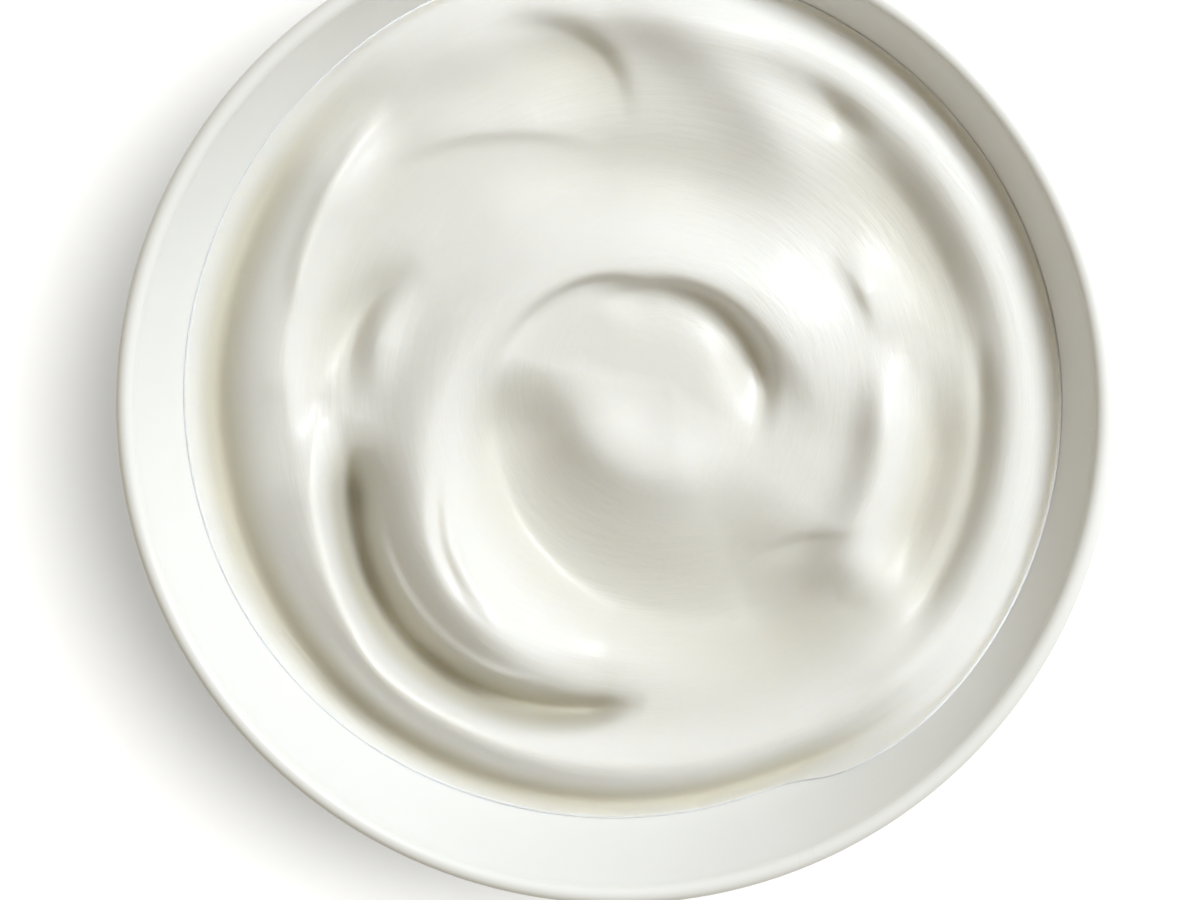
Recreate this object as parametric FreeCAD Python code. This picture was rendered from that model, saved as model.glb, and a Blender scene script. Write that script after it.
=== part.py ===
import FreeCAD, Part
import os
from math import atan2, ceil, cos, degrees, exp, hypot, pi, radians, sin, sqrt

# A small footed bowl of glazed ceramic, filled with sour cream that a spoon has swirled.
#
# Frame, in millimetres: +Z is up, and the origin is the centre of the plane that the foot
# ring rests on. The bowl is turned about Z. The cream is uneven all round: its swirl opens
# towards -Y, its deepest crease is towards -X, and it is heaped against the wall towards +X.
#
# Two solids, one per file in parts/:
#   bowl        the wall with its rounded lip, the floor and the foot ring
#   sour_cream  all the cream, from the bowl's inner face up to the swirled top


# ---- Driving dimensions -------------------------------------------------------------------

rim_radius = 65.0        # outermost point of the lip
bowl_height = 52.0       # table to the top of the lip
wall = 2.5               # thickness of the wall, and so the diameter of the round lip
wall_bulge = 4.3         # how far the wall bows outward from a straight cone
floor_thickness = 4.5    # of the floor inside the foot ring
floor_round = 20.0       # radius of the curve between the inner wall and the floor

foot_radius = 27.0       # outer radius of the foot ring
foot_width = 4.0         # how wide a ring touches the table
foot_height = 5.0        # table to the inside of the corner where the wall leaves the foot
foot_recess = 3.0        # how far the underside inside the ring is raised
foot_edge = 0.8          # rounding of the foot ring's two edges
foot_blend = 2.0         # rounding of the corner between the foot and the wall

fill_depth = 11.0        # top of the lip down to the cream's mean level
swirl_radius = 57.4      # radius of the level surface that the strokes below are laid out on
grid_step = 1.2          # spacing of the heights that the cream's top is drawn through

# Every hollow and ridge is a stroke of the spoon: an arc whose radius changes evenly along
# it, so that it can spiral. Angles are in degrees from +X towards +Y. A stroke has a height
# at its start and its end, negative for a hollow, and falls away to each side over a width,
# also given at its start and end. It fades in and out over the last length, its fade.
# name, centre x, y, angles, radii, heights, widths on the centre's side, widths outside, fade
strokes = [
    ("ring against the wall", 0, 0, (-70, 136), (53.0, 52.5), (2.6, 3.4), (3.0, 4.5), (6.0, 6.5), 26),
    ("trough along the wall", 0, 0, (120, 330), (54.2, 55.2), (-3.8, -4.8), (4.4, 4.4), (2.6, 2.6), 34),
    ("ring, upper left", 0, 0, (126, 192), (47.0, 43.0), (3.4, 3.4), (2.6, 2.4), (6.0, 7.0), 14),
    ("fold, upper left", 0, 0, (125, 166), (50.0, 43.6), (1.2, 1.0), (1.2, 1.2), (1.4, 1.6), 9),
    ("ring, lower left", 0, 0, (178, 240), (39.4, 47.4), (4.6, 4.8), (2.1, 2.2), (7.0, 5.0), 14),
    ("ring, below", 0, 0, (220, 332), (46.4, 51.0), (4.8, 2.6), (2.2, 6.0), (5.0, 4.5), 16),
    ("main fold", 3, -8, (6, 262), (26.0, 29.4), (3.2, 5.4), (3.8, 5.5), (9.0, 5.0), 18),
    ("deep crease, left", -5, -12, (166, 228), (30.6, 33.2), (-5.4, -5.8), (2.6, 2.6), (1.2, 1.2), 10),
    ("deep crease, below", -5, -12, (210, 290), (33.2, 29.0), (-5.8, -2.8), (2.6, 2.0), (1.2, 1.2), 10),
    ("flank of the deep crease", -5, -12, (160, 284), (32.4, 29.6), (-5.8, -2.4), (7.0, 4.0), (1.6, 1.6), 14),
    ("fold on the flank", -5, -12, (184, 262), (27.4, 25.6), (0.9, 0.9), (0.8, 0.8), (0.8, 0.8), 9),
    ("groove on the crest", -5, -12, (158, 240), (18.0, 20.0), (-0.9, -0.9), (0.9, 0.9), (0.9, 0.9), 10),
    ("crease at the eye, left", 5, 3, (186, 84), (21.5, 12.6), (-1.4, -2.4), (2.0, 3.6), (0.9, 1.0), 12),
    ("crease at the eye, right", 5, 3, (126, -34), (12.4, 15.0), (-2.6, -3.4), (3.6, 3.8), (1.0, 1.8), 12),
    ("lip of the eye", 7, 4, (166, 328), (12.5, 12.0), (2.4, 1.8), (6.0, 6.0), (4.5, 5.0), 12),
    ("basin", 7, 2, (166, 322), (21.5, 34.0), (-5.2, -4.4), (8.5, 14.0), (2.6, 8.0), 16),
    ("crescent hollow", -20, 5, (108, 206), (15.0, 16.5), (-3.4, -2.6), (1.8, 2.0), (3.4, 3.4), 14),
    ("ridge inside the crescent", -20, 5, (118, 205), (11.5, 12.0), (1.4, 1.4), (2.5, 2.5), (1.6, 1.6), 10),
    ("right ridge", 0, -6, (24, -38), (37.4, 31.6), (3.8, 2.4), (2.6, 4.4), (3.0, 4.0), 12),
    ("right hollow", 0, 0, (10, -38), (42.5, 43.0), (-2.6, -2.2), (3.0, 3.0), (5.0, 4.0), 14),
    ("edge of the right ring", 0, 0, (14, -40), (48.6, 49.0), (-1.2, -1.2), (1.6, 1.6), (1.4, 1.4), 10),
    ("upper right dish", 0, 0, (52, 8), (46.0, 47.0), (-1.4, -1.6), (7.0, 6.0), (3.0, 2.4), 14),
    ("small crest", 15, 5, (50, 10), (21.6, 20.6), (2.0, 1.6), (1.4, 1.4), (3.0, 3.0), 9),
    ("top right fold", -5, 20, (84, 10), (31.5, 32.0), (3.0, 2.0), (5.0, 5.0), (5.0, 5.0), 16),
    ("dent", 0, 0, (62, 44), (49.5, 48.5), (-1.8, -1.6), (2.4, 2.4), (1.6, 1.6), 9),
    ("top trough", 0, 0, (124, 40), (31.0, 31.0), (-2.2, -2.2), (6.0, 6.0), (6.0, 6.0), 18),
    ("small ridge", 0, 0, (136, 90), (45.5, 34.8), (1.2, 0.8), (1.4, 1.4), (4.0, 4.0), 14),
    ("top hollow", -10, 38, (158, -10), (13.0, 10.5), (-1.4, -2.4), (6.0, 6.0), (2.4, 1.6), 16),
    ("thin crease", 33, -48, (122, 84), (30.7, 30.7), (-1.0, -1.2), (2.8, 2.8), (1.3, 1.3), 10),
    ("lower bump", 30, -26, (130, -40), (5.0, 6.0), (0.8, 0.8), (4.0, 4.0), (4.0, 4.0), 9),
]


# ---- Worked out from them ------------------------------------------------------------------

def circle_through(start, end, bulge):
    """Centre and radius of the arc from start to end that bows to the right by bulge."""
    along_r, along_z = end[0] - start[0], end[1] - start[1]
    chord = hypot(along_r, along_z)
    radius = chord ** 2 / (8 * bulge) + bulge / 2
    back = (radius - bulge) / chord
    middle = ((start[0] + end[0]) / 2, (start[1] + end[1]) / 2)
    return (middle[0] - back * along_z, middle[1] + back * along_r), radius


# The middle of the wall's thickness runs along one arc, from the foot to the lip's centre.
half_wall = wall / 2
lip_centre = (rim_radius - half_wall, bowl_height - half_wall)
wall_start = (foot_radius - half_wall, foot_height + half_wall)
(arc_r, arc_z), arc_radius = circle_through(wall_start, lip_centre, wall_bulge)
lip_angle = atan2(lip_centre[1] - arc_z, lip_centre[0] - arc_r)

floor_top = foot_recess + floor_thickness
inner_radius = arc_radius - half_wall
outer_radius = arc_radius + half_wall

# The wall's outer face ends where it reaches the upright side of the foot ring.
foot_top = arc_z - sqrt(outer_radius ** 2 - (foot_radius - arc_r) ** 2)
foot_angle = atan2(foot_top - arc_z, foot_radius - arc_r)

# The floor's round touches the floor and the inner wall, so its centre is known from both.
round_z = floor_top + floor_round
round_r = arc_r + sqrt((inner_radius - floor_round) ** 2 - (round_z - arc_z) ** 2)
round_angle = atan2(round_z - arc_z, round_r - arc_r)

cream_level = bowl_height - fill_depth
cream_edge = arc_r + sqrt(inner_radius ** 2 - (cream_level - arc_z) ** 2)
spread = cream_edge / swirl_radius


# ---- Outlines turned about Z ----------------------------------------------------------------

def at(r, z):
    """A point of an outline: r out from the axis, z up."""
    return FreeCAD.Vector(r, 0, z)


def on_circle(centre, radius, angle):
    """The point of a circle at an angle from the outward direction."""
    return at(centre[0] + radius * cos(angle), centre[1] + radius * sin(angle))


def arc(centre, radius, start, end):
    """The arc of a circle from one angle to another, either way round."""
    points = [on_circle(centre, radius, start + (end - start) * share) for share in (0, 0.5, 1)]
    return Part.Arc(*points).toShape()


def as_spline(edge):
    """The same curve as a spline, because so thin a ring turned from a plain arc meshes unevenly."""
    return edge.toNurbs().Edges[0]


def turned(edges):
    """The solid that a closed outline makes when it is turned about Z."""
    outline = Part.Face(Part.Wire(edges))
    return outline.revolve(FreeCAD.Vector(0, 0, 0), FreeCAD.Vector(0, 0, 1), 360)


def inner_outline():
    """The inner face of the bowl, from the middle of the floor up to the lip."""
    floor = Part.makeLine(at(0, floor_top), at(round_r, floor_top))
    floor_curve = arc((round_r, round_z), floor_round, -pi / 2, round_angle)
    wall_curve = arc((arc_r, arc_z), inner_radius, round_angle, lip_angle)
    return [floor, floor_curve, wall_curve]


# ---- Bowl -----------------------------------------------------------------------------------

def rounded(solid, wanted, radius):
    """The solid with the circular edges that are wanted, by radius and height, rounded."""
    edges = []
    for edge in solid.Edges:
        if isinstance(edge.Curve, Part.Circle) and wanted(edge.Curve.Radius, edge.Curve.Center.z):
            edges.append(edge)
    return solid.makeFillet(radius, edges).Solids[0]


def make_bowl():
    """One turned piece: inner face, round lip, outer wall, foot ring and raised underside."""
    inner_lip = as_spline(arc(lip_centre, half_wall, lip_angle + pi, pi / 2))
    outer_lip = as_spline(arc(lip_centre, half_wall, pi / 2, lip_angle))
    outer_wall = arc((arc_r, arc_z), outer_radius, lip_angle, foot_angle)
    corners = [
        at(foot_radius, foot_top),
        at(foot_radius, 0),
        at(foot_radius - foot_width, 0),
        at(foot_radius - foot_width, foot_recess),
        at(0, foot_recess),
        at(0, floor_top),
    ]
    foot = [Part.makeLine(a, b) for a, b in zip(corners, corners[1:])]
    bowl = turned(inner_outline() + [inner_lip, outer_lip, outer_wall] + foot)
    bowl = rounded(bowl, lambda r, z: z < foot_recess / 2, foot_edge)
    return rounded(bowl, lambda r, z: abs(z - foot_top) < foot_edge, foot_blend)


# ---- Sour cream -----------------------------------------------------------------------------

def between(pair, share):
    """The value a share of the way from the first of a pair to the second."""
    return pair[0] + (pair[1] - pair[0]) * share


def stroke_height(stroke, x, y):
    """How much one stroke of the spoon raises the cream at a place."""
    name, centre_x, centre_y, angles, radii, heights, inner_widths, outer_widths, fade = stroke
    away = hypot(x - centre_x, y - centre_y)
    middle = sum(angles) / 2
    angle = (degrees(atan2(y - centre_y, x - centre_x)) - middle + 180) % 360 - 180 + middle
    share = min(max((angle - angles[0]) / (angles[1] - angles[0]), 0), 1)
    length = radians(abs(angles[1] - angles[0])) * sum(radii) / 2
    strength = min(min(share, 1 - share) * length / fade, 1)
    offset = away - between(radii, share)
    width = between(inner_widths if offset < 0 else outer_widths, share)
    return between(heights, share) * exp(-(offset / width) ** 2) * strength ** 2 * (3 - 2 * strength)


def cream_height(x, y):
    """Height of the cream's top. The swirl spreads with the width of the bowl where it is filled."""
    return cream_level + sum(stroke_height(stroke, x / spread, y / spread) for stroke in strokes)


def make_cream():
    """The cream: the inside of the bowl, cut off by the swirled top."""
    inner_lip = on_circle((arc_r, arc_z), inner_radius, lip_angle)
    lid = Part.makeLine(inner_lip, at(0, inner_lip.z))
    axis = Part.makeLine(at(0, inner_lip.z), at(0, floor_top))
    inside = turned(inner_outline() + [lid, axis])
    count = ceil(rim_radius / grid_step)
    places = [grid_step * index for index in range(-count, count + 1)]
    top = Part.BSplineSurface()
    top.interpolate([[FreeCAD.Vector(x, y, cream_height(x, y)) for y in places] for x in places])
    below_top = top.toShape().extrude(FreeCAD.Vector(0, 0, -bowl_height))
    return inside.common(below_top).Solids[0]


os.makedirs("parts", exist_ok=True)
nodes = {"bowl": make_bowl(), "sour_cream": make_cream()}
for name, solid in nodes.items():
    solid.exportStep(f"parts/{name}.step")
    box = solid.BoundBox
    print(name, solid.ShapeType, "valid" if solid.isValid() else "NOT VALID")
    print(f"  {solid.Volume / 1000:.1f} ml, z {box.ZMin:.2f} to {box.ZMax:.2f}, width {box.XLength:.2f}")
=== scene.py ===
# %% [markdown]
# # A bowl of sour cream
#
# This lesson dresses a small footed bowl of white glazed stoneware, filled with sour cream
# that a spoon has swirled. Two pieces are modelled, the bowl and the cream, and each gets
# its own finish. The work is in the cream: its folds are real geometry, because light that
# comes from one side shows every crease of so white a thing.
#
# Everything is in metres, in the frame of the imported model: +Z up, the origin under the
# middle of the foot ring. Sizes that a potter or a cook would give in millimetres are
# written that way and turned into metres by MM.

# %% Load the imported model
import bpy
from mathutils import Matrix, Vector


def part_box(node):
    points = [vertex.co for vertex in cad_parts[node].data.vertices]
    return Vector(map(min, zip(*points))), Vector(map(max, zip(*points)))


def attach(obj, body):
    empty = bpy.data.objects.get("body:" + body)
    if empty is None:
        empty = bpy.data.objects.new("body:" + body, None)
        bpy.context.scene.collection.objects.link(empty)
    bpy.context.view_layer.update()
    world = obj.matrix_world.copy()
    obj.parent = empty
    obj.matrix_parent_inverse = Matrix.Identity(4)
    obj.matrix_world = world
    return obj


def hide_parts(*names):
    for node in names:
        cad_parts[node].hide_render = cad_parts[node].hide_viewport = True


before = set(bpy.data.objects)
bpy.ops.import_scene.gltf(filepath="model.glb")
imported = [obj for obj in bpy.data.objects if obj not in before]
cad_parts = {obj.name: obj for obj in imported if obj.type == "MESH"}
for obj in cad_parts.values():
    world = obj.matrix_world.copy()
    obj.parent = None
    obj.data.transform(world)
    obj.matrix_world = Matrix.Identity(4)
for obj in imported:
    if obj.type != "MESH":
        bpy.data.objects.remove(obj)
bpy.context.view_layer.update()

from math import atan2, cos, hypot, pi, radians, sin, sqrt

import bmesh
import bpy
import numpy as np
from mathutils import Matrix, Vector

MM = 0.001
top_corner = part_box("bowl")[1]
RIM_RADIUS, BOWL_HEIGHT = top_corner.x, top_corner.z
print(f"bowl: {2 * RIM_RADIUS / MM:.0f} mm across, {BOWL_HEIGHT / MM:.0f} mm high")

# %% [markdown]
# ## The camera
#
# The bowl is seen from almost straight above, as on a menu card. A long lens a little under
# half a metre away keeps the rim round. The camera leans 8 degrees off the vertical, so one
# side of the inner wall shows more than the other. It could be aimed with a Track To
# constraint, but three axes written as the columns of a matrix say the same and stay exact.

# %% Camera
LEAN, LEAN_TOWARDS = radians(8), radians(70)
CAMERA_DISTANCE = 432.9 * MM
AIM = Vector((-1.47 * MM, -4.2 * MM, BOWL_HEIGHT))

backwards = Vector((sin(LEAN) * cos(LEAN_TOWARDS), sin(LEAN) * sin(LEAN_TOWARDS), cos(LEAN)))
rightwards = Vector((0, 1, 0)).cross(backwards).normalized()
upwards = backwards.cross(rightwards)

camera = bpy.data.objects.new("camera", bpy.data.cameras.new("camera"))
camera.data.lens, camera.data.sensor_width = 100, 36
camera.data.clip_start, camera.data.clip_end = 0.01, 20
camera.matrix_world = (
    Matrix.Translation(AIM + CAMERA_DISTANCE * backwards)
    @ Matrix((rightwards, upwards, backwards)).transposed().to_4x4()
)
bpy.context.collection.objects.link(camera)
bpy.context.scene.camera = camera
print("camera", [round(value / MM) for value in camera.location], "mm")

# %% [markdown]
# ## The bowl
#
# A potter throws the bowl on a wheel, so its whole shape is one outline turned about Z: the
# floor, a generous curve into the wall, the wall as one long arc, a fully round lip, the same
# wall outside, a foot ring and a raised underside. A cylinder with loop cuts could be scaled
# into it, but the arcs are the bowl's character, so they are drawn as arcs. Spin draws them:
# it turns a single vertex about a centre, and the vertex leaves an edge at every step.

# %% The bowl's sizes
WALL = 2.5 * MM                 # thickness, and so the diameter of the round lip
WALL_BULGE = 4.3 * MM           # how far the wall bows outward from a straight cone
FLOOR_TOP = 7.5 * MM            # table to the inside of the floor
FLOOR_ROUND = 20 * MM           # the curve between the floor and the wall
FOOT_RADIUS, FOOT_WIDTH = 27 * MM, 4 * MM
FOOT_HEIGHT, FOOT_RECESS = 5 * MM, 3 * MM
FOOT_EDGE, FOOT_BLEND = 0.8 * MM, 2 * MM

half_wall = WALL / 2
lip_r, lip_z = RIM_RADIUS - half_wall, BOWL_HEIGHT - half_wall
start_r, start_z = FOOT_RADIUS - half_wall, FOOT_HEIGHT + half_wall
chord = hypot(lip_r - start_r, lip_z - start_z)
arc_radius = chord ** 2 / (8 * WALL_BULGE) + WALL_BULGE / 2
back = (arc_radius - WALL_BULGE) / chord
arc_r = (lip_r + start_r) / 2 - back * (lip_z - start_z)
arc_z = (lip_z + start_z) / 2 + back * (lip_r - start_r)
inner_radius, outer_radius = arc_radius - half_wall, arc_radius + half_wall
round_z = FLOOR_TOP + FLOOR_ROUND
round_r = arc_r + sqrt((inner_radius - FLOOR_ROUND) ** 2 - (round_z - arc_z) ** 2)
print(f"the wall is an arc of {arc_radius / MM:.0f} mm radius")


def wall_height(r):
    """Height of the inner face at a distance from the axis, for numbers and for arrays."""
    on_wall = arc_z - np.sqrt(np.maximum(inner_radius ** 2 - (r - arc_r) ** 2, 0))
    return np.maximum(on_wall, FLOOR_TOP)


def wall_radius(height):
    """Distance of the inner face from the axis at one height, on the wall or the curve below it."""
    on_wall = arc_r + sqrt(inner_radius ** 2 - (height - arc_z) ** 2)
    if height >= round_z:
        return on_wall
    return min(on_wall, round_r + sqrt(max(FLOOR_ROUND ** 2 - (round_z - height) ** 2, 0)))


# %% Draw the outline and turn it
def line_to(bm, pen, r, z):
    """Extrudes the pen's vertex to a new place and returns the new vertex."""
    pen = bmesh.ops.extrude_vert_indiv(bm, verts=[pen])["verts"][0]
    pen.co = (r, 0, z)
    return pen


def arc_to(bm, pen, centre_r, centre_z, end_angle, steps):
    """Spins the pen's vertex about a centre until it lies at an angle from outward, up positive."""
    start_angle = atan2(pen.co.z - centre_z, pen.co.x - centre_r)
    turn = (start_angle - end_angle + pi) % (2 * pi) - pi
    made = bmesh.ops.spin(bm, geom=[pen], cent=(centre_r, 0, centre_z), axis=(0, 1, 0),
                          dvec=(0, 0, 0), angle=turn, steps=steps)
    return next(item for item in made["geom_last"] if isinstance(item, bmesh.types.BMVert))


def finish_piece(bm, name, material):
    """Turns a bmesh into a smooth object that rides on the model's one body."""
    mesh = bpy.data.meshes.new(name)
    bm.to_mesh(mesh)
    bm.free()
    mesh.shade_smooth()
    mesh.materials.append(material)
    piece = bpy.data.objects.new(name, mesh)
    bpy.context.collection.objects.link(piece)
    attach(piece, "root")
    triangles = sum(len(face.vertices) - 2 for face in mesh.polygons)
    print(f"{name}: {len(mesh.vertices)} vertices, {triangles} triangles")
    return piece


def make_bowl(material):
    """The outline of the whole bowl, drawn from the middle of the floor, then turned about Z."""
    bm = bmesh.new()
    pen = bm.verts.new((0, 0, FLOOR_TOP))
    for share in (0.25, 0.5, 0.75, 1):
        pen = line_to(bm, pen, round_r * share, FLOOR_TOP)
    pen = arc_to(bm, pen, round_r, round_z, atan2(round_z - arc_z, round_r - arc_r), 12)
    lip_angle = atan2(lip_z - arc_z, lip_r - arc_r)
    pen = arc_to(bm, pen, arc_r, arc_z, lip_angle, 48)
    pen = arc_to(bm, pen, lip_r, lip_z, pi / 2, 10)
    pen = arc_to(bm, pen, lip_r, lip_z, lip_angle, 10)
    blend_r = FOOT_RADIUS + FOOT_BLEND
    blend_z = arc_z - sqrt((outer_radius + FOOT_BLEND) ** 2 - (blend_r - arc_r) ** 2)
    pen = arc_to(bm, pen, arc_r, arc_z, atan2(blend_z - arc_z, blend_r - arc_r), 44)
    pen = arc_to(bm, pen, blend_r, blend_z, pi, 8)
    foot_inside = FOOT_RADIUS - FOOT_WIDTH
    pen = line_to(bm, pen, FOOT_RADIUS, FOOT_EDGE)
    pen = arc_to(bm, pen, FOOT_RADIUS - FOOT_EDGE, FOOT_EDGE, -pi / 2, 5)
    pen = line_to(bm, pen, foot_inside + FOOT_EDGE, 0)
    pen = arc_to(bm, pen, foot_inside + FOOT_EDGE, FOOT_EDGE, pi, 5)
    pen = line_to(bm, pen, foot_inside, FOOT_RECESS - FOOT_EDGE)
    pen = arc_to(bm, pen, foot_inside - FOOT_EDGE, FOOT_RECESS - FOOT_EDGE, pi / 2, 4)
    pen = line_to(bm, pen, 0, FOOT_RECESS)
    bmesh.ops.spin(bm, geom=bm.verts[:] + bm.edges[:], cent=(0, 0, 0), axis=(0, 0, 1),
                   dvec=(0, 0, 0), angle=2 * pi, steps=256, use_merge=True)
    bmesh.ops.remove_doubles(bm, verts=bm.verts[:], dist=0.001 * MM)
    bmesh.ops.recalc_face_normals(bm, faces=bm.faces[:])
    return finish_piece(bm, "stoneware_bowl", material)


# %% [markdown]
# ## The cream
#
# Sour cream is thick enough to keep every mark of the spoon. Sculpting by hand or a fluid
# simulation would both give folds, but not these folds, and not twice the same. So the top
# is a landscape of strokes. A stroke is what the back of a spoon leaves: an arc, spiralling
# a little, that is pushed down or piled up, with one steep side and one gentle side, fading
# in and out. About thirty strokes, each a plain list of its sizes, make the whole swirl.
#
# The solid model is cut with the same strokes, at a coarser step.

# %% The strokes of the spoon
CREAM_LEVEL = 41.0     # millimetres above the table, like every size in the table of strokes
SWIRL_RADIUS = 57.4

# name, centre x, y, angles, radii, heights, widths on the centre's side, widths outside, fade
STROKES = [
    ("ring against the wall", 0, 0, (-70, 136), (53.0, 52.5), (2.6, 3.4), (3.0, 4.5), (6.0, 6.5), 26),
    ("trough along the wall", 0, 0, (120, 330), (54.2, 55.2), (-3.8, -4.8), (4.4, 4.4), (2.6, 2.6), 34),
    ("ring, upper left", 0, 0, (126, 192), (47.0, 43.0), (3.4, 3.4), (2.6, 2.4), (6.0, 7.0), 14),
    ("fold, upper left", 0, 0, (125, 166), (50.0, 43.6), (1.2, 1.0), (1.2, 1.2), (1.4, 1.6), 9),
    ("ring, lower left", 0, 0, (178, 240), (39.4, 47.4), (4.6, 4.8), (2.1, 2.2), (7.0, 5.0), 14),
    ("ring, below", 0, 0, (220, 332), (46.4, 51.0), (4.8, 2.6), (2.2, 6.0), (5.0, 4.5), 16),
    ("main fold", 3, -8, (6, 262), (26.0, 29.4), (3.2, 5.4), (3.8, 5.5), (9.0, 5.0), 18),
    ("deep crease, left", -5, -12, (166, 228), (30.6, 33.2), (-5.4, -5.8), (2.6, 2.6), (1.2, 1.2), 10),
    ("deep crease, below", -5, -12, (210, 290), (33.2, 29.0), (-5.8, -2.8), (2.6, 2.0), (1.2, 1.2), 10),
    ("flank of the deep crease", -5, -12, (160, 284), (32.4, 29.6), (-5.8, -2.4), (7.0, 4.0), (1.6, 1.6), 14),
    ("fold on the flank", -5, -12, (184, 262), (27.4, 25.6), (0.9, 0.9), (0.8, 0.8), (0.8, 0.8), 9),
    ("groove on the crest", -5, -12, (158, 240), (18.0, 20.0), (-0.9, -0.9), (0.9, 0.9), (0.9, 0.9), 10),
    ("crease at the eye, left", 5, 3, (186, 84), (21.5, 12.6), (-1.4, -2.4), (2.0, 3.6), (0.9, 1.0), 12),
    ("crease at the eye, right", 5, 3, (126, -34), (12.4, 15.0), (-2.6, -3.4), (3.6, 3.8), (1.0, 1.8), 12),
    ("lip of the eye", 7, 4, (166, 328), (12.5, 12.0), (2.4, 1.8), (6.0, 6.0), (4.5, 5.0), 12),
    ("basin", 7, 2, (166, 322), (21.5, 34.0), (-5.2, -4.4), (8.5, 14.0), (2.6, 8.0), 16),
    ("crescent hollow", -20, 5, (108, 206), (15.0, 16.5), (-3.4, -2.6), (1.8, 2.0), (3.4, 3.4), 14),
    ("ridge inside the crescent", -20, 5, (118, 205), (11.5, 12.0), (1.4, 1.4), (2.5, 2.5), (1.6, 1.6), 10),
    ("right ridge", 0, -6, (24, -38), (37.4, 31.6), (3.8, 2.4), (2.6, 4.4), (3.0, 4.0), 12),
    ("right hollow", 0, 0, (10, -38), (42.5, 43.0), (-2.6, -2.2), (3.0, 3.0), (5.0, 4.0), 14),
    ("edge of the right ring", 0, 0, (14, -40), (48.6, 49.0), (-1.2, -1.2), (1.6, 1.6), (1.4, 1.4), 10),
    ("upper right dish", 0, 0, (52, 8), (46.0, 47.0), (-1.4, -1.6), (7.0, 6.0), (3.0, 2.4), 14),
    ("small crest", 15, 5, (50, 10), (21.6, 20.6), (2.0, 1.6), (1.4, 1.4), (3.0, 3.0), 9),
    ("top right fold", -5, 20, (84, 10), (31.5, 32.0), (3.0, 2.0), (5.0, 5.0), (5.0, 5.0), 16),
    ("dent", 0, 0, (62, 44), (49.5, 48.5), (-1.8, -1.6), (2.4, 2.4), (1.6, 1.6), 9),
    ("top trough", 0, 0, (124, 40), (31.0, 31.0), (-2.2, -2.2), (6.0, 6.0), (6.0, 6.0), 18),
    ("small ridge", 0, 0, (136, 90), (45.5, 34.8), (1.2, 0.8), (1.4, 1.4), (4.0, 4.0), 14),
    ("top hollow", -10, 38, (158, -10), (13.0, 10.5), (-1.4, -2.4), (6.0, 6.0), (2.4, 1.6), 16),
    ("thin crease", 33, -48, (122, 84), (30.7, 30.7), (-1.0, -1.2), (2.8, 2.8), (1.3, 1.3), 10),
    ("lower bump", 30, -26, (130, -40), (5.0, 6.0), (0.8, 0.8), (4.0, 4.0), (4.0, 4.0), 9),
]


def between(pair, share):
    """The value a share of the way from the first of a pair to the second."""
    return pair[0] + (pair[1] - pair[0]) * share


def stroke_height(stroke, x, y):
    """How much one stroke raises the cream at places given as arrays, in millimetres."""
    centre_x, centre_y, angles, radii, heights, inner_widths, outer_widths, fade = stroke[1:]
    away = np.hypot(x - centre_x, y - centre_y)
    middle = sum(angles) / 2
    angle = (np.degrees(np.arctan2(y - centre_y, x - centre_x)) - middle + 180) % 360 - 180 + middle
    share = np.clip((angle - angles[0]) / (angles[1] - angles[0]), 0, 1)
    length = radians(abs(angles[1] - angles[0])) * sum(radii) / 2
    strength = np.clip(np.minimum(share, 1 - share) * length / fade, 0, 1)
    offset = away - between(radii, share)
    width = np.where(offset < 0, between(inner_widths, share), between(outer_widths, share))
    return between(heights, share) * np.exp(-(offset / width) ** 2) * strength ** 2 * (3 - 2 * strength)


def cream_height(x, y):
    """Height of the cream's top in metres, at places in metres."""
    height = np.full(np.shape(x), CREAM_LEVEL)
    for stroke in STROKES:
        height += stroke_height(stroke, x / MM / spread, y / MM / spread)
    return height * MM


level = CREAM_LEVEL * MM
level_edge = wall_radius(level)
spread = level_edge / (SWIRL_RADIUS * MM)
print(f"{len(STROKES)} strokes, on a level surface of {level_edge / MM:.1f} mm radius")

# %% [markdown]
# ### Where the cream meets the wall
#
# Cream is wet, so it doesn't meet the glaze at a corner: its surface curves up and thins out
# against the wall. A soft maximum of the cream's height and the wall's makes that curve. Far
# from the wall it is the cream alone, and up the wall it is a film that gets ever thinner.
#
# The cream lies lower on one side than on the other, and the wall leans, so its edge isn't
# a circle. It is found in every direction by halving: a place is too far out once the film
# there is as thin as THINNEST. The edge then goes a hair into the wall, to leave no gap.

# %% The cream's edge
CURVE = 0.9 * MM          # how gradually the cream turns up the wall
THINNEST = 0.2 * MM       # the film's thickness where it ends
TUCK = 0.1 * MM           # how far the edge goes into the wall
SURELY_CREAM = 45 * MM    # a radius that the cream covers in every direction
HALVINGS = 24


def wet_height(x, y):
    """Height of the cream's top with its edge drawn up the wall."""
    cream, wall = cream_height(x, y), wall_height(np.hypot(x, y))
    return wall + CURVE * np.logaddexp(0, (cream - wall) / CURVE)


EDGE_ANGLES = np.linspace(-pi, pi, 1441)
inside = np.full(EDGE_ANGLES.shape, SURELY_CREAM)
outside = np.full(EDGE_ANGLES.shape, RIM_RADIUS - WALL)
for _ in range(HALVINGS):
    trial = (inside + outside) / 2
    film = wet_height(trial * np.cos(EDGE_ANGLES), trial * np.sin(EDGE_ANGLES)) - wall_height(trial)
    free = film > THINNEST
    inside, outside = np.where(free, trial, inside), np.where(free, outside, trial)
EDGE_RADII = outside + TUCK
print(f"the cream reaches {EDGE_RADII.min() / MM:.1f} to {EDGE_RADII.max() / MM:.1f} mm from the axis")

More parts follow.
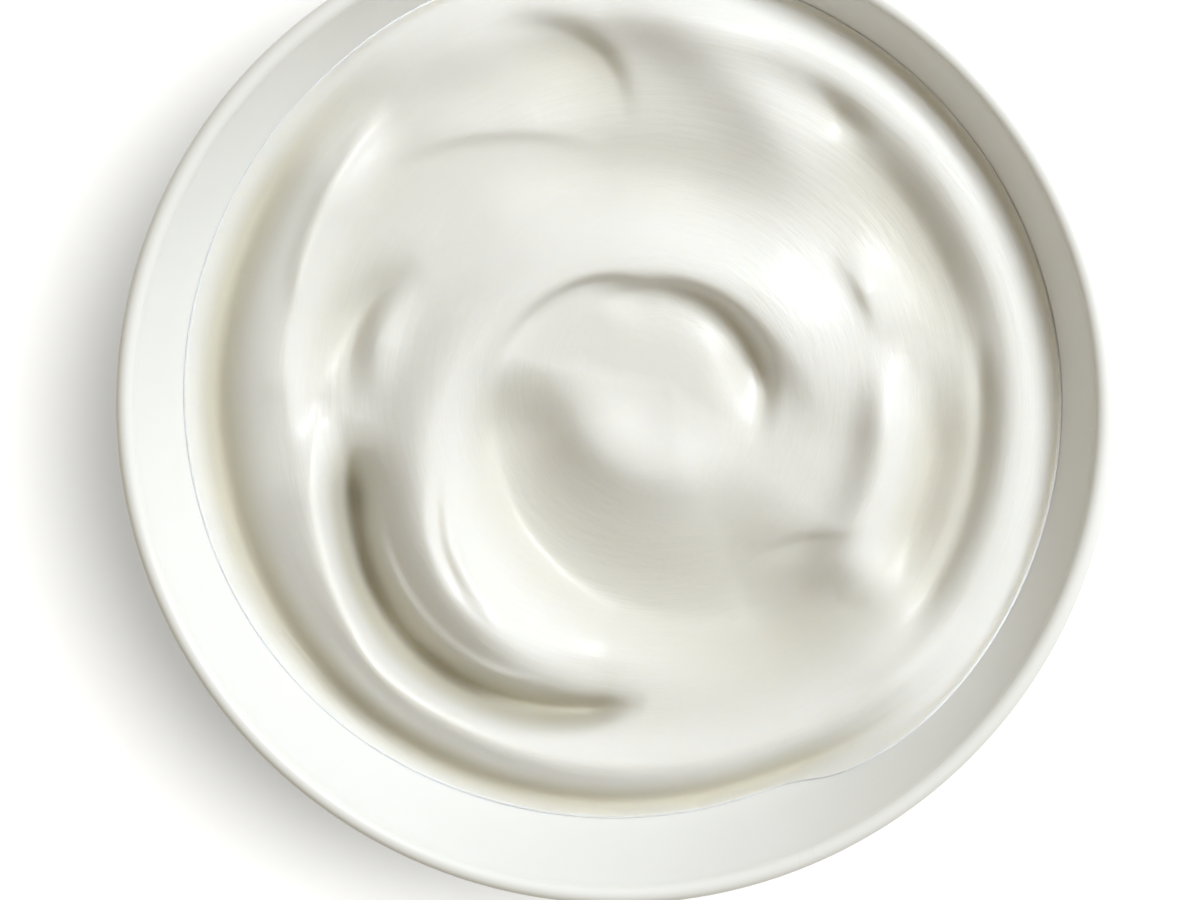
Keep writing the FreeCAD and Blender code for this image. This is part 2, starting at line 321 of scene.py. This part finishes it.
# %% [markdown]
# ### The mesh of the cream
#
# A grid is the even, dense skin that the strokes need. Its square is eased into a disc, so
# that no vertices crowd at a pole, and the disc is stretched to the edge found above. Then
# the border is extruded down along the inner wall in even rings and closed a little above
# the floor, because a body of cream that light sinks into has to be a closed one.

# %% Cream mesh
GRID_CELLS = 288
SKIRT_RINGS = 6


def make_cream(material):
    """The swirled top on a dense grid, with sides along the bowl's inner wall."""
    bm = bmesh.new()
    bmesh.ops.create_grid(bm, x_segments=GRID_CELLS, y_segments=GRID_CELLS, size=1)
    square = np.array([vertex.co[:2] for vertex in bm.verts])
    across, along = square[:, 0], square[:, 1]
    disc_x = across * np.sqrt(1 - along ** 2 / 2)
    disc_y = along * np.sqrt(1 - across ** 2 / 2)
    reach = np.interp(np.arctan2(disc_y, disc_x), EDGE_ANGLES, EDGE_RADII)
    x, y = disc_x * reach, disc_y * reach
    for vertex, place in zip(bm.verts, np.column_stack((x, y, wet_height(x, y))).tolist()):
        vertex.co = place
    border = [edge for edge in bm.edges if edge.is_boundary]
    for ring in range(1, SKIRT_RINGS + 1):
        made = bmesh.ops.extrude_edge_only(bm, edges=border)["geom"]
        border = [item for item in made if isinstance(item, bmesh.types.BMEdge) and item.is_boundary]
        share_kept = 1 - 1 / (SKIRT_RINGS + 2 - ring)
        for vertex in (item for item in made if isinstance(item, bmesh.types.BMVert)):
            out = Vector((vertex.co.x, vertex.co.y, 0)).normalized()
            height = FLOOR_TOP + (vertex.co.z - FLOOR_TOP) * share_kept
            vertex.co = (wall_radius(height) + TUCK) * out + Vector((0, 0, height))
    bmesh.ops.holes_fill(bm, edges=border, sides=0)
    bmesh.ops.recalc_face_normals(bm, faces=bm.faces[:])
    return finish_piece(bm, "swirled_cream", material)


# %% [markdown]
# ## Finishes as sums
#
# A finish is easier to read as a sum than as wires between boxes. One small class wraps a
# socket of a node tree, and adding or multiplying two of them adds the Math node that does
# it. Every other node comes from one method, which sets the node's options first and then
# its sockets. A room's light is made of nodes too, so the class that makes them is a general
# one, and a finish builds on it.

# %% Shader maths
class Socket:
    """An output in a node tree, with which Python's own arithmetic builds Math nodes."""

    def __init__(self, nodes, output):
        self.nodes, self.output = nodes, output

    def maths(self, operation, left, right):
        return self.nodes.node("ShaderNodeMath", {"operation": operation}, {0: left, 1: right})

    def __add__(self, other):
        return self.maths("ADD", self, other)

    def __mul__(self, other):
        return self.maths("MULTIPLY", self, other)

    def __rsub__(self, other):
        return self.maths("SUBTRACT", other, self)

    __radd__ = __add__
    __rmul__ = __mul__


class Nodes:
    """The emptied node tree of a material or a world, and the one method that makes its nodes."""

    def __init__(self, owner):
        owner.use_nodes = True
        self.tree = owner.node_tree
        self.tree.nodes.clear()

    def node(self, kind, options=None, sockets=None, output=0):
        """Makes a node, sets its options, then the values or links of its sockets."""
        node = self.tree.nodes.new(kind)
        for option, value in (options or {}).items():
            setattr(node, option, value)
        for name, value in (sockets or {}).items():
            if isinstance(value, Socket):
                self.tree.links.new(value.output, node.inputs[name])
            else:
                node.inputs[name].default_value = value
        return Socket(self, node.outputs[output]) if node.outputs else None


class Finish(Nodes):
    """A material, with short words for the nodes that a surface is made of."""

    def __init__(self, name):
        self.material = bpy.data.materials.new(name)
        super().__init__(self.material)

    def place(self):
        """The place on the object, in metres."""
        return self.node("ShaderNodeTexCoord", output="Object")

    def vector(self, operation, sockets, output=0):
        """A sum, product or length of vectors."""
        return self.node("ShaderNodeVectorMath", {"operation": operation}, sockets, output)

    def flat_offset(self, place, centre):
        """The way to a place from a centre, with its height taken away."""
        return self.vector("MULTIPLY", {0: self.vector("SUBTRACT", {0: place, 1: centre}), 1: (1, 1, 0)})

    def distance(self, place, centre):
        """The distance of a place from an upright axis through a centre."""
        return self.vector("LENGTH", {0: self.flat_offset(place, centre)}, "Value")

    def noise(self, place, scale, detail, roughness=0.5):
        """A soft random field about 0.5, with a scale in lumps per metre."""
        sockets = {"Vector": place, "Scale": scale, "Detail": detail, "Roughness": roughness}
        return self.node("ShaderNodeTexNoise", sockets=sockets, output="Fac")

    def step(self, value, start, end):
        """0 below start and 1 above end, with a smooth step between."""
        sockets = {"Value": value, "From Min": start, "From Max": end}
        return self.node("ShaderNodeMapRange", {"interpolation_type": "SMOOTHSTEP"}, sockets)

    def blend(self, share, first, second):
        """One colour turning into another."""
        colours = {0: share, 6: first, 7: second}
        return self.node("ShaderNodeMix", {"data_type": "RGBA"}, colours, output=2)

    def bump(self, height, distance, strength):
        """A surface normal that follows a height, given in multiples of a distance."""
        sockets = {"Height": height, "Distance": distance, "Strength": strength}
        return self.node("ShaderNodeBump", sockets=sockets, output="Normal")

    def shine(self, sockets, options=None):
        """The Principled surface, joined to the material's output."""
        surface = self.node("ShaderNodeBsdfPrincipled", options, sockets)
        self.node("ShaderNodeOutputMaterial", sockets={"Surface": surface})
        return self.material


# %% [markdown]
# ## The glaze
#
# A clear white glaze is glassy and melts level, with faint waves a few millimetres wide, a
# slightly thinner and warmer skin over the lip, and a matt bare ring where the foot stood in
# the kiln. Glass over a coloured body could be layered with a coat. One surface is enough
# for so white a body, so the waves go into the bump and the roughness, and the two bands are
# masks on the height above the table.

# %% Glaze
def make_glaze():
    """White glaze with faint waves, a warmer lip and a bare foot."""
    glaze = Finish("white_glaze")
    place = glaze.place()
    height = glaze.node("ShaderNodeSeparateXYZ", sockets={"Vector": place}, output="Z")
    waves = glaze.noise(place, 90, 2)
    specks = glaze.noise(place, 900, 2)
    lip = glaze.step(height, BOWL_HEIGHT - 2.2 * MM, BOWL_HEIGHT - 0.4 * MM)
    bare = 1 - glaze.step(height, 0.5 * MM, 0.9 * MM)
    white = glaze.blend(waves, (0.86, 0.86, 0.855, 1), (0.89, 0.89, 0.885, 1))
    white = glaze.blend(lip * 0.5, white, (0.84, 0.835, 0.81, 1))
    clay = glaze.blend(specks, (0.66, 0.61, 0.53, 1), (0.76, 0.71, 0.63, 1))
    return glaze.shine({
        "Base Color": glaze.blend(bare, white, clay),
        "Roughness": 0.2 + 0.08 * waves + 0.05 * lip + 0.5 * bare,
        "IOR": 1.5,
        "Normal": glaze.bump(waves + 0.05 * specks, 0.12 * MM, 0.6),
    })


# %% [markdown]
# ## The cream's finish
#
# Light goes a millimetre or so into cream and comes out again warmer, which softens its
# shadows. That is subsurface scattering, and it is the same all over. Shade is also painted
# into the colour: a mask on the height makes what lies low darker and more ivory, as painted
# shade for the light that bounces about in the hollows. It is strongest in the trough along
# the wall, less in the middle, and not at all where the thin edge lies on the white glaze.
#
# The skin is moist and softly glossy. The spoon leaves faint drag lines that follow its turn,
# so their noise is stretched round the eye of the swirl and not along X or Y.

# %% Cream finish
def make_cream_finish():
    """White cream that light sinks into, with painted shade where it lies low, streaked along the swirl."""
    cream = Finish("sour_cream")
    place = cream.place()
    height = cream.node("ShaderNodeSeparateXYZ", sockets={"Vector": place}, output="Z")
    from_axis = cream.distance(place, (0, 0, 0))
    clouds = cream.noise(place, 45, 3)
    grain = cream.noise(place, 1400, 2)
    eye = (5 * MM, 1 * MM, 0)      # the middle of the swirl
    streaks = cream.noise(along_the_swirl(cream, place, eye), 800, 3, 0.6)
    streaks = streaks * cream.step(cream.distance(place, eye), 3 * MM, 16 * MM)
    # painted shade: the mask makes the cream darker and warmer where it lies low, most along the wall
    painted_hollow_shade = 1 - cream.step(height, level - 4 * MM, level + 2.5 * MM)
    painted_hollow_shade = painted_hollow_shade * (1 - cream.step(from_axis, 54.5 * MM, 57.5 * MM))
    painted_hollow_shade = painted_hollow_shade * (0.42 + 0.58 * cream.step(from_axis, 32 * MM, 48 * MM))
    white = cream.blend(clouds, (0.8, 0.79, 0.765, 1), (0.83, 0.822, 0.802, 1))
    return cream.shine({
        # the darker ivory colour here is painted shade for the hollows
        "Base Color": cream.blend(painted_hollow_shade, white, (0.59, 0.56, 0.465, 1)),
        "Roughness": 0.22 + 0.12 * clouds + 0.08 * grain,
        "IOR": 1.35,
        "Specular IOR Level": 0.38,
        "Subsurface Weight": 1.0,
        "Subsurface Radius": (1.0, 0.85, 0.5),
        "Subsurface Scale": 1.2 * MM,
        "Normal": cream.bump(streaks + 0.1 * grain, 0.16 * MM, 0.6),
    }, {"subsurface_method": "BURLEY"})


def along_the_swirl(finish, place, centre):
    """Coordinates that change fast across the spoon's turns and slowly along them."""
    outward = finish.vector("NORMALIZE", {0: finish.flat_offset(place, centre)})
    turn = finish.vector("MULTIPLY", {0: outward, 1: (4 * MM, 4 * MM, 0)})
    away = finish.node("ShaderNodeCombineXYZ", sockets={"Z": finish.distance(place, centre)})
    return finish.vector("ADD", {0: turn, 1: away})


# %% Make the two pieces
bowl = make_bowl(make_glaze())
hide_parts("bowl")
cream = make_cream(make_cream_finish())
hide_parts("sour_cream")

# %% [markdown]
# ## Light and floor
#
# One soft key lamp stands to the upper right and low enough to rake over the folds. A lamp
# that low would throw the bowl's shadow far across the floor, so it lights everything but the
# floor. A second lamp stands higher and lights nothing but the floor, which keeps the shadow
# short and soft. A plain warm room fills the rest.
#
# The floor is white paper. To the camera it glows a little on top of its own shade, so that it
# comes out white away from the bowl and still holds the bowl's shadow.

# %% Lamps
LAMP_DISTANCE = 1.2


def make_lamp(name, direction, height, size, power, colour):
    """A round soft lamp that looks at the origin, from an angle round Z and one above the table."""
    lamp = bpy.data.objects.new(name, bpy.data.lights.new(name, "AREA"))
    lamp.data.shape = "DISK"
    lamp.data.size, lamp.data.energy, lamp.data.color = size, power, colour
    direction, height = radians(direction), radians(height)
    towards = Vector((cos(height) * cos(direction), cos(height) * sin(direction), sin(height)))
    lamp.location = towards * LAMP_DISTANCE
    lamp.rotation_mode = "QUATERNION"
    lamp.rotation_quaternion = towards.to_track_quat("Z", "Y")
    bpy.context.collection.objects.link(lamp)
    return lamp


key = make_lamp("key", direction=37, height=50, size=0.42, power=13.8, colour=(0.9, 0.955, 1.0))
overhead = make_lamp("overhead", direction=33, height=70, size=0.4, power=12.5, colour=(1.0, 1.0, 1.0))

# %% Room
ROOM_LIGHT, ROOM_COLOUR = 0.3, (1.0, 0.9, 0.67, 1)


def make_room():
    """A plain warm room: full strength where it is seen, and dimmer in the light it gives."""
    world = bpy.data.worlds.new("room")
    room = Nodes(world)
    direct = room.node("ShaderNodeLightPath", output="Is Camera Ray")
    through = room.node("ShaderNodeLightPath", output="Is Transmission Ray")
    strength = ROOM_LIGHT + (1 - ROOM_LIGHT) * direct.maths("MAXIMUM", direct, through)
    walls = room.node("ShaderNodeBackground", sockets={"Color": ROOM_COLOUR, "Strength": strength})
    room.node("ShaderNodeOutputWorld", sockets={"Surface": walls})
    return world


bpy.context.scene.world = make_room()

# %% Floor
PAPER_GLOW = 0.25
FLOOR_HALF_WIDTH = 3


def make_floor():
    """A wide sheet of white paper under the bowl."""
    paper = Finish("paper")
    fibres = paper.noise(paper.place(), 300, 4)
    white = paper.blend(fibres, (0.83, 0.83, 0.83, 1), (0.86, 0.86, 0.86, 1))
    shade = paper.node("ShaderNodeBsdfDiffuse", sockets={"Color": white})
    glow = PAPER_GLOW * paper.node("ShaderNodeLightPath", output="Is Camera Ray")
    light = paper.node("ShaderNodeEmission", sockets={"Color": (0.8, 0.88, 1, 1), "Strength": glow})
    both = paper.node("ShaderNodeAddShader", sockets={0: shade, 1: light})
    paper.node("ShaderNodeOutputMaterial", sockets={"Surface": both})
    bm = bmesh.new()
    bmesh.ops.create_grid(bm, x_segments=1, y_segments=1, size=FLOOR_HALF_WIDTH)
    mesh = bpy.data.meshes.new("floor")
    bm.to_mesh(mesh)
    bm.free()
    mesh.materials.append(paper.material)
    floor = bpy.data.objects.new("floor", mesh)
    bpy.context.collection.objects.link(floor)
    return floor


floor = make_floor()

# %% Which lamp lights the floor
for lamp, link_state in ((key, "EXCLUDE"), (overhead, "INCLUDE")):
    lit = bpy.data.collections.new(f"lit by {lamp.name}")
    lit.objects.link(floor)
    lit.collection_objects[0].light_linking.link_state = link_state
    lamp.light_linking.receiver_collection = lit
bpy.context.scene.view_settings.view_transform = "Standard"
